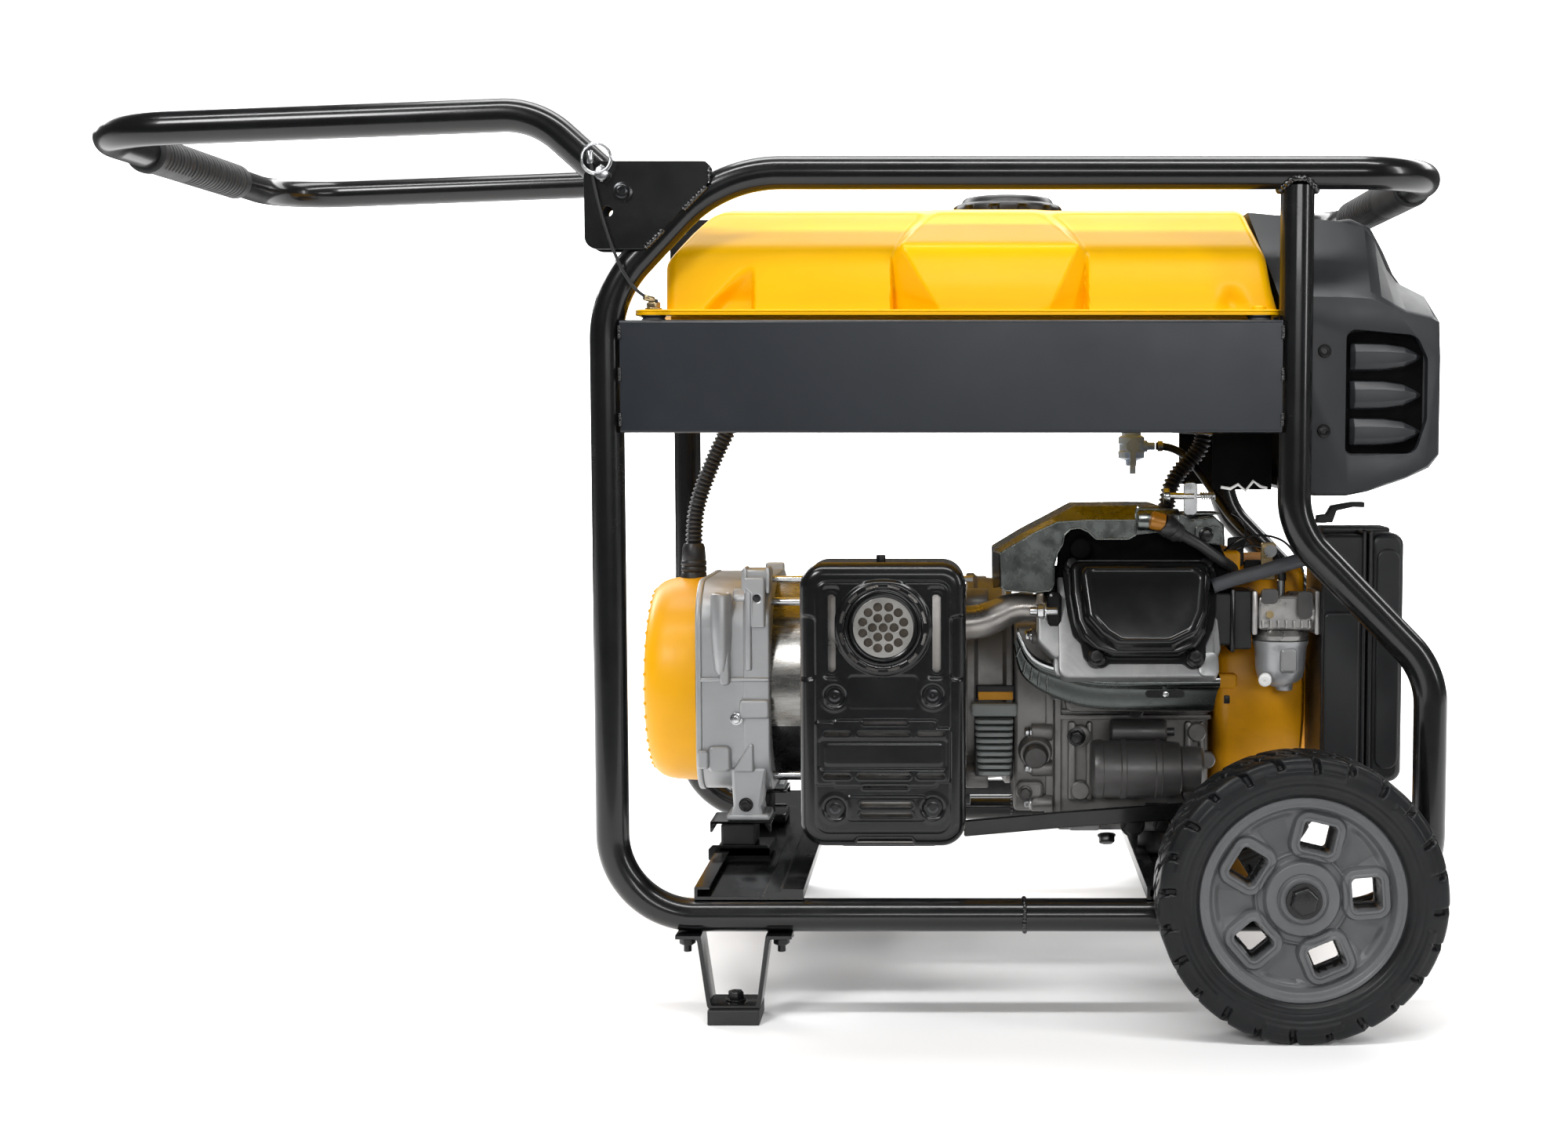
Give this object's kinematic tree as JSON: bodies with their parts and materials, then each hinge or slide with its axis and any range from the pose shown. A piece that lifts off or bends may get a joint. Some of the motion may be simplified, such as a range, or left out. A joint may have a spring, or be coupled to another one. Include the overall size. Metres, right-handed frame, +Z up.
{
  "type": "portable generator",
  "caption": "Open-frame portable petrol generator with fold-down pull handle, side wheels, yellow tank, muffler-side engine, alternator and control cowl.",
  "frame": {"origin": "centre of the bounding box in plan, on the floor under the feet and wheels, handle out", "axes": "+Z up; -Y is the muffler side; +X is the control panel and wheel end; the pull handle reaches out to -X"},
  "size_m": [1.241, 0.707, 0.8283],
  "materials": {
    "frame_black": "gloss black paint",
    "grip_rubber": "ribbed rubber",
    "zinc_steel": "bright zinc plating",
    "lanyard": "thin black covered cord",
    "panel_slate": "satin dark slate paint",
    "mount_rubber": "moulded rubber",
    "tank_yellow": "gloss yellow paint",
    "yellow_plastic": "moulded yellow plastic",
    "black_plastic": "moulded black plastic",
    "valve_chrome": "plated brass",
    "cowl_grey": "moulded dark grey plastic",
    "cast_aluminium": "as-cast aluminium",
    "stator_steel": "steel laminations",
    "engine_black": "satin heat-resistant black paint",
    "engine_grey": "dark grey paint",
    "galvanised": "galvanised sheet",
    "black_rubber": "black hose and sleeve",
    "cast_iron": "machined casting",
    "carb_metal": "die-cast, passivated",
    "filter_foam": "open-cell foam element",
    "muffler_steel": "heat-stained steel",
    "bright_steel": "bright steel tube",
    "tyre": "solid black tyre with tread blocks",
    "rim_grey": "moulded grey plastic"
  },
  "bodies": {
    "frame": {"air_cleaner_base": "black_plastic", "air_cleaner_cover": "black_plastic", "air_filter": "filter_foam", "alternator_adapter": "cast_aluminium", "alternator_end_bell": "cast_aluminium", "alternator_end_cover": "yellow_plastic", "axle": "zinc_steel", "battery": "black_plastic", "carburetor": "carb_metal", "control_cowl": "cowl_grey", "control_panel": "black_plastic", "cooling_shrouds": "galvanised", "crankcase": "cast_aluminium", "crankcase_cover": "cast_aluminium", "cross_loop_tube": "frame_black", "cross_members": "frame_black", "cylinder_head": "cast_aluminium", "exhaust_pipe": "bright_steel", "fan_shroud": "yellow_plastic", "fasteners": "zinc_steel", "foot_pads": "mount_rubber", "frame_tubes": "frame_black", "fuel_tank_lower": "tank_yellow", "fuel_tank_upper": "tank_yellow", "fuel_valve": "valve_chrome", "handle_brackets": "frame_black", "hoses_and_conduits": "black_rubber", "lock_pin_lanyard": "lanyard", "mount_brackets": "frame_black", "muffler_body": "muffler_steel", "muffler_cover": "engine_black", "rear_leg_tubes": "frame_black", "recoil_starter": "yellow_plastic", "rubber_mounts": "mount_rubber", "side_panels": "panel_slate", "spark_arrestor": "engine_black", "spark_plug_and_lead": "black_rubber", "starter_motor": "engine_grey", "stator": "stator_steel", "top_grip": "grip_rubber", "valve_cover": "engine_black"},
    "handle": {"handle_tube": "frame_black", "handle_grip": "grip_rubber"},
    "lock_pin": {"lock_pin": "zinc_steel"},
    "fuel_cap": {"fuel_cap": "black_plastic"},
    "fuel_valve_lever": {"fuel_valve_lever": "black_plastic"},
    "outlet_cover_left": {"outlet_cover_left": "black_plastic"},
    "outlet_cover_right": {"outlet_cover_right": "black_plastic"},
    "engine_switch": {"engine_switch": "black_plastic"},
    "breaker_button": {"breaker_button": "black_plastic"},
    "crank": {"rotor": "stator_steel", "crankshaft": "stator_steel", "flywheel": "cast_iron"},
    "piston": {"piston": "cast_aluminium"},
    "recoil_grip": {"recoil_grip": "black_plastic"},
    "choke_lever": {"choke_lever": "black_plastic"},
    "wheel_near": {"tyre_near": "tyre", "wheel_rim_near": "rim_grey"},
    "wheel_far": {"tyre_far": "tyre", "wheel_rim_far": "rim_grey"}
  },
  "joints": [
    {"name": "handle_hinge", "type": "hinge", "parent": "frame", "child": "handle", "pos_m": [-0.1195, 0, 0.744], "axis": [0, -1, 0], "range_deg": [0, 88]},
    {"name": "lock_pin_slide", "type": "slide", "parent": "frame", "child": "lock_pin", "axis": [0, -1, 0], "range_m": [0, 0.012]},
    {"name": "fuel_cap_twist", "type": "hinge", "parent": "frame", "child": "fuel_cap", "pos_m": [0.2235, 0, 0.75], "axis": [0, 0, 1], "range_deg": [0, 90]},
    {"name": "fuel_valve_turn", "type": "hinge", "parent": "frame", "child": "fuel_valve_lever", "pos_m": [0.3505, -0.017, 0.518], "axis": [0, -1, 0], "range_deg": [0, 90]},
    {"name": "outlet_cover_left_hinge", "type": "hinge", "parent": "frame", "child": "outlet_cover_left", "pos_m": [0.6132, -0.095, 0.608], "axis": [0, -1, 0], "range_deg": [0, 110]},
    {"name": "outlet_cover_right_hinge", "type": "hinge", "parent": "frame", "child": "outlet_cover_right", "pos_m": [0.6132, -0.015, 0.608], "axis": [0, -1, 0], "range_deg": [0, 110]},
    {"name": "engine_switch_turn", "type": "hinge", "parent": "frame", "child": "engine_switch", "pos_m": [0.6015, 0.09, 0.596], "axis": [1, 0, 0], "range_deg": [-45, 45]},
    {"name": "breaker_push", "type": "slide", "parent": "frame", "child": "breaker_button", "axis": [-1, 0, 0], "range_m": [0, 0.004], "stiffness_N_per_m": 400},
    {"name": "crank_spin", "type": "hinge", "parent": "frame", "child": "crank", "pos_m": [0.3315, 0, 0.28], "axis": [1, 0, 0], "continuous": true},
    {"name": "piston_slide", "type": "slide", "parent": "frame", "child": "piston", "axis": [0, -0.9205, 0.3907], "range_m": [-0.026, 0.025]},
    {"name": "recoil_pull", "type": "slide", "parent": "frame", "child": "recoil_grip", "axis": [1, 0, 0], "range_m": [0, 0.6], "stiffness_N_per_m": 15, "springref_m": -0.1},
    {"name": "choke_turn", "type": "hinge", "parent": "frame", "child": "choke_lever", "pos_m": [0.5245, -0.1, 0.446], "axis": [0, 0, 1], "range_deg": [-35, 35]},
    {"name": "wheel_near_spin", "type": "hinge", "parent": "frame", "child": "wheel_near", "pos_m": [0.4755, -0.3215, 0.127], "axis": [0, 1, 0], "continuous": true},
    {"name": "wheel_far_spin", "type": "hinge", "parent": "frame", "child": "wheel_far", "pos_m": [0.4755, 0.3215, 0.127], "axis": [0, 1, 0], "continuous": true}
  ]
}
